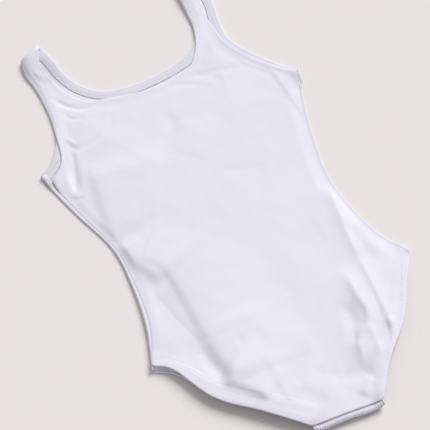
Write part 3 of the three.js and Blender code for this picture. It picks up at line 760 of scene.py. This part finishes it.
frontHems = [hemStrip("front_hem_" + e, front, e, frontMiddle, -2 * radius) for e in hemNames]
backHems = [hemStrip("back_hem_" + e, back, e, backMiddle, 2 * radius) for e in hemNames]
print("hems turned:", len(frontHems) + len(backHems))


# crotch gusset: turns over the end of the garment from the seam and runs back under it
gusset = {
    # along the seam: (share of its length, how far the gusset reaches past it, how much of the fall it makes)
    "rows": [(0, 0.75, 0.95), (0.06, 1.05, 1.0), (0.2, 1.0, 1.0), (0.5, 0.95, 0.95), (0.8, 1.05, 0.9),
             (0.93, 0.95, 0.95), (1, 0.7, 0.9)],
    # from the seam outwards: (reach, height below the front's edge)
    "section": [(-0.4, -1.5), (0.8, -1.75), (1.9, -1.65), (3.2, -1.55), (4.4, -1.9), (5.3, -2.8),
                (5.6, -3.9), (4.9, -4.7), (3.0, -5.1), (0.5, -5.2), (-3.0, -5.6)],
    "stations": 150, "ring": 44, "tail": 10,
    "waves": [(0.35, 41, 0), (0.22, 73, 1)],  # (height, how many radians to the length, phase)
    "lump": (0.6, 0.72, 0.04),  # (height, share of the length, over how much of it)
    "gathered": 0.085,  # share of the length, at each end, that the leg hems' elastic gathers
    "gathers": [(0.75, 165, 2), (0.35, 330, 0)],  # (height, radians to the length, radians round the roll)
    "ripple": (0.16, 120, 5),
    "lowest": 0.35,
}


def crotchPoint(cut, along):  # on the line between the ends of the two leg edges
    row = cut["leg"][-1]
    return np.column_stack([row[0] + (row[2] - row[0]) * along, row[1] + (row[3] - row[1]) * along])


def makeGusset():
    along = np.linspace(0, 1, gusset["stations"] + 1)
    outline = smoothLine(gusset["rows"], 20)
    reach, fall = [np.interp(along, outline[:, 0], outline[:, k]) for k in (1, 2)]
    seam = crotchPoint(frontCut, along)
    seamTop = frontMiddle(seam)
    section = alongLine(smoothLine(gusset["section"], 12), np.ones(gusset["ring"]))
    run = sharesOf(section)
    high, middle, far = gusset["lump"]
    wavy = sum(size * np.sin(along * turns + phase) for size, turns, phase in gusset["waves"])
    wavy += high * np.exp(-((along - middle) / far) ** 2)
    ends = np.exp(-(np.minimum(along, 1 - along) / gusset["gathered"]) ** 2)
    points = []
    for k, (out, down) in enumerate(section):
        low = math.sin(math.pi * run[k])
        gathers = ends * low * sum(size * np.sin(along * turns + rolled * run[k])
                                   for size, turns, rolled in gusset["gathers"])
        size, turns, rolled = gusset["ripple"]
        ripple = size * low * np.sin(along * turns + rolled * run[k]) * (0.4 + ends)
        y = seam[:, 1] - out * reach - wavy * low * run[k] - gathers * 0.6
        z = seamTop + down * fall + gathers + ripple
        points.append(np.column_stack([seam[:, 0], y, np.maximum(z, gusset["lowest"])]))
    tail = crotchPoint(backCut, along)
    last = points[-1]
    for k in range(1, gusset["tail"] + 1):
        t = k / gusset["tail"]
        y = last[:, 1] * (1 - t) + (tail[:, 1] - 0.4) * t
        z = last[:, 2] * (1 - t) ** 2 + gusset["lowest"] * (1 - (1 - t) ** 2)
        points.append(np.column_stack([last[:, 0], y, z]))
    net = np.stack(points)
    faces = quads(numbersOf(*net.shape[:2]))[:, otherWay]
    piece = asMesh("gusset_cloth", net.reshape(-1, 3), faces, insideKnit, layout["wall"])
    storeHem(piece, noHem, placesOf(piece)[:, 0])
    storeShade(piece)
    layMap(piece)
    return piece


gussetPiece = makeGusset()
print("gusset turned")


# stitches: one small capsule, copied along the needle rows
stitch = {"length": 2.0, "pitch": 2.7, "width": 0.34, "sides": 8, "rings": 6,
          "sunk": 0.08, "fromEnds": 3, "uneven": 0.15, "askew": 0.06}


def oneStitch():
    bpy.ops.mesh.primitive_uv_sphere_add(segments=stitch["sides"], ring_count=stitch["rings"], radius=0.5)
    ball = bpy.context.object
    co = np.array([v.co[:] for v in ball.data.vertices])
    faces = [list(p.vertices) for p in ball.data.polygons]
    bpy.data.objects.remove(ball)
    return co[:, (2, 0, 1)] * (stitch["length"], stitch["width"], stitch["width"]), faces


stitchShape, stitchFaces = oneStitch()


def backHemMiddle(places, deep=6):  # middle of the cloth that is turned in on the back
    return backMiddle(places) + 2 * radius * hemPress(deep)


def addStitch(points, faces, spot, angle, u, v, z):  # one more, laid at a spot along an angle
    c, s = math.cos(angle), math.sin(angle)
    first = len(points) * len(stitchShape)
    points.append(np.column_stack([spot[0] + u * c - v * s, spot[1] + u * s + v * c, z]))
    faces += [[first + i for i in face] for face in stitchFaces]


def sewRows(name, panel, heightOf, side):  # side: 1 on top of the cloth, -1 under it
    points, faces = [], []
    u, v, h = stitchShape.T
    rng = np.random.default_rng(11)
    for edge in hemNames:
        whole = panel["lines"][edge]
        for row in layout["stitchRows"]:
            line = whole - outwardOf(edge, whole) * row
            run = runsOf(line)
            count = int((run[-1] - 2 * stitch["fromEnds"]) / stitch["pitch"])
            marks = stitch["fromEnds"] + (np.arange(count) + 0.5) * stitch["pitch"]
            marks += rng.uniform(-stitch["uneven"], stitch["uneven"], count)
            spots = spotsOn(line, run, marks)
            ahead = spotsOn(line, run, marks + 0.5) - spots
            height = heightOf(spots)
            slope = (heightOf(spots + ahead) - height) / np.linalg.norm(ahead, axis=1)
            turn = np.arctan2(ahead[:, 1], ahead[:, 0])
            turn += rng.uniform(-stitch["askew"], stitch["askew"], count)
            surface = height + side * (layout["wall"] / 2 - stitch["sunk"])
            for spot, z, angle, tilt in zip(spots, surface, turn, slope):
                addStitch(points, faces, spot, angle, u, v, z + h + u * tilt)
    return asMesh(name, np.vstack(points), np.array(faces, dtype=object), whiteThread)


leaves = {
    "count": 4, "length": 31, "room": 0.55,  # room to the hems above and below
    "fill": 0.47, "thinnest": 0.12,  # half thickness: share of a leaf's room, and at least this
    "inset": 0.2, "stagger": 0.7, "uneven": 0.5, "slant": 0.03,
    # from one face of a leaf round its edge to the other: (how deep inside the edge, how far up or down)
    "section": [(7, 1), (3.5, 1), (0.8, 0.95), (0.15, 0.6), (0, 0),
                (0.15, -0.6), (0.8, -0.95), (3.5, -1), (7, -1)],
}


def makeLeaves():  # ends of the left side seam's cloth, folded between the leg's two hems
    line = alongLine(back["lines"]["leg_left"], np.ones(400))
    run = runsOf(line)
    line, run = line[run < leaves["length"]], run[run < leaves["length"]]
    inward = -outwardOf("leg_left", line)
    low = backMiddle(line) + 2 * radius + leaves["room"]
    high = frontMiddle(line + inward * 5) - 2 * radius - leaves["room"]
    points, faces = [], []
    for k in range(leaves["count"]):
        share = (k + 0.5) / leaves["count"]
        middle = low * (1 - share) + high * share
        half = np.maximum((high - low) / leaves["count"] * leaves["fill"], leaves["thinnest"])
        edge = leaves["inset"] + leaves["stagger"] * k + leaves["uneven"] * math.sin(k * 2.3)
        edge = edge + leaves["slant"] * run
        first = len(points) * len(line)
        for deep, up in leaves["section"]:
            flat = line + inward * (edge + deep)[:, None]
            points.append(np.column_stack([flat, middle + half * up]))
        faces.append(quads(numbersOf(len(leaves["section"]), len(line), first)))
    return asMesh("leg_seam_leaves", np.vstack(points), np.vstack(faces), insideKnit)


seamLeaves = makeLeaves()
storeHem(seamLeaves, noHem, placesOf(seamLeaves)[:, 0])

# threads over the ends of the seams: (start of a row, its end, what it lies on, how high above that,
# how many throws it has, their length, how much they cross)
overlocks = [
    ((127.5, 103.5), (131.5, 96), "floor", 2.8, 7, 6.0, 0.35),
    ((131.5, 97), (130.6, 86), "floor", 2.3, 9, 3.4, 0.35),
    ((-130.5, 91.5), (-112, 104), "hem", 0.0, 24, 6.2, 0.5),
    ((129, -118.5), (128.6, -122), "front", 0.3, 5, 3.0, 0.3),
    ((-121.8, -123), (-120.5, -130), "floor", 3.2, 5, 2.6, 0.35),
    ((117.6, -128.6), (98.3, -162.6), "front", 0.3, 15, 1.9, 0.1),
    ((-24, -231.5), (-13, -233.4), "front", 0.32, 8, 3.2, 0.4),
    ((29, -235), (38, -236.2), "front", 0.32, 8, 3.0, 0.4),
]


def makeOverlock():
    points, faces = [], []
    rng = np.random.default_rng(5)
    for start, end, base, above, count, size, cross in overlocks:
        a, b = np.array([start, end], float)
        way = (b - a) / np.linalg.norm(b - a)
        spots = a + (b - a) * (np.arange(count)[:, None] + 0.5) / count
        heights = np.full(len(spots), above)
        if base == "front":
            heights = frontMiddle(spots) + above
        if base == "hem":
            heights = backHemMiddle(spots, 5) + layout["wall"] / 2 + above
        for k in range(count):
            spot = spots[k] + rng.uniform(-0.2, 0.2, 2)
            angle = math.atan2(way[1], way[0]) + math.pi / 2
            angle += cross * (1 if k % 2 else -1) + rng.uniform(-0.1, 0.1)
            u, v, h = stitchShape.T
            u = u * (size * rng.uniform(0.85, 1.1) / stitch["length"])
            z = heights[k] + rng.uniform(-0.1, 0.1) + h * 1.2 - (u / stitch["length"]) ** 2 * 0.5
            addStitch(points, faces, spot, angle, u, v, z)
    return asMesh("seam_overlock", np.vstack(points), np.array(faces, dtype=object), shadedSeamThread)


tab = {
    "inner": [(125, 106.5), (128, 99), (128, 90), (126, 82)],
    "outer": [(128, 108), (134, 100), (133.4, 91), (128, 82)],
    "height": 2.3, "fallOut": 1.3, "fallAlong": 1.0, "lowest": 0.4,
}


def makeTab():  # the right side seam's end, that sticks out under the arm
    inner, outer = smoothLine(tab["inner"], 10), smoothLine(tab["outer"], 10)
    across = np.linspace(0, 1, 7)[:, None, None]
    net = inner[None] * (1 - across) + outer[None] * across
    run = np.linspace(0, 1, len(inner))[None]
    height = tab["height"] - tab["fallOut"] * across[:, :, 0] ** 2 - tab["fallAlong"] * run
    height = height + 0.22 * np.sin(run * 38 + across[:, :, 0] * 3)
    points = np.concatenate([net, np.maximum(height, tab["lowest"])[..., None]], -1)
    faces = quads(numbersOf(*net.shape[:2]))[:, otherWay]
    piece = asMesh("underarm_seam_end", points.reshape(-1, 3), faces, insideKnit, layout["wall"])
    storeHem(piece, noHem, placesOf(piece)[:, 1])
    storeShade(piece)
    return piece


seamTab = makeTab()
# greyer than the hem thread: the seam ends' threads carry painted shade
shadedSeamThread = threadMaterial("seam thread", (0.60, 0.59, 0.65), (0.78, 0.77, 0.84))
overlock = makeOverlock()
frontStitches = sewRows("front_stitches", front, frontMiddle, 1)
insideStitches = sewRows("back_inside_stitches", back, backHemMiddle, 1)
backStitches = sewRows("back_stitches", back, backMiddle, -1)
print("hems stitched")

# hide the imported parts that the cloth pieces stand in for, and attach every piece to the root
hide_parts("front_panel")
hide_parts("back_panel")
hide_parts("crotch_gusset")
for e, one, other in zip(hemNames, frontHems, backHems):
    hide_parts("hem_front_" + e)
    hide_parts("hem_back_" + e)
for piece in (frontPiece, backPiece, gussetPiece):
    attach(piece, "root")
extras = [insideStitches, backStitches, seamLeaves, seamTab, overlock]
for piece in [*frontHems, *backHems, frontStitches, *extras]:
    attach(piece, "root")

# studio: pale floor, broad soft light from the top right of the picture, and the camera
studio = {
    "floorColour": (0.805, 0.778, 0.772), "floorSize": 6.0,
    "skyColour": (1.0, 0.975, 0.965), "skyStrength": 0.42,
    "keyColour": (1.0, 0.997, 1.0), "keyStrength": 2.75, "keySpread": 38,
    "keyTowards": (0.83, 0.557), "keyElevation": 41,
}
bpy.ops.mesh.primitive_plane_add(size=studio["floorSize"], location=(0, 0, 0))
floor = bpy.context.object
floor.name = "floor"
floorFinish = startFinish("pale floor", Base_Color=(*studio["floorColour"], 1), Roughness=0.9,
                          Specular_IOR_Level=0.1)
floor.data.materials.append(floorFinish[0])

world = bpy.data.worlds.new("soft room")
world.use_nodes = True
setSockets(world.node_tree.nodes["Background"], Color=(*studio["skyColour"], 1),
           Strength=studio["skyStrength"])
bpy.context.scene.world = world

tilt = math.radians(studio["keyElevation"])
flatWay = Vector(studio["keyTowards"]).normalized()
keyWay = Vector((flatWay.x * math.cos(tilt), flatWay.y * math.cos(tilt), math.sin(tilt)))
bpy.ops.object.light_add(type="SUN", location=keyWay * 2)
key = bpy.context.object
key.name = "key light"
key.data.energy = studio["keyStrength"]
key.data.angle = math.radians(studio["keySpread"])
key.data.color = studio["keyColour"]
key.rotation_euler = (-keyWay).to_track_quat("-Z", "Y").to_euler()

view = {"target": (-0.0075, -0.0104, 0.0), "offset": (-0.30798, -0.64571, 1.14487),
        "lens": 125.58, "sensor": 36}
bpy.ops.object.camera_add(location=Vector(view["target"]) + Vector(view["offset"]))
camera = bpy.context.object
camera.name = "camera"
camera.rotation_euler = (-Vector(view["offset"])).to_track_quat("-Z", "Y").to_euler()
camera.data.lens = view["lens"]
camera.data.sensor_width = view["sensor"]
bpy.context.scene.camera = camera
bpy.context.scene.view_settings.view_transform = "Standard"
print("studio set")
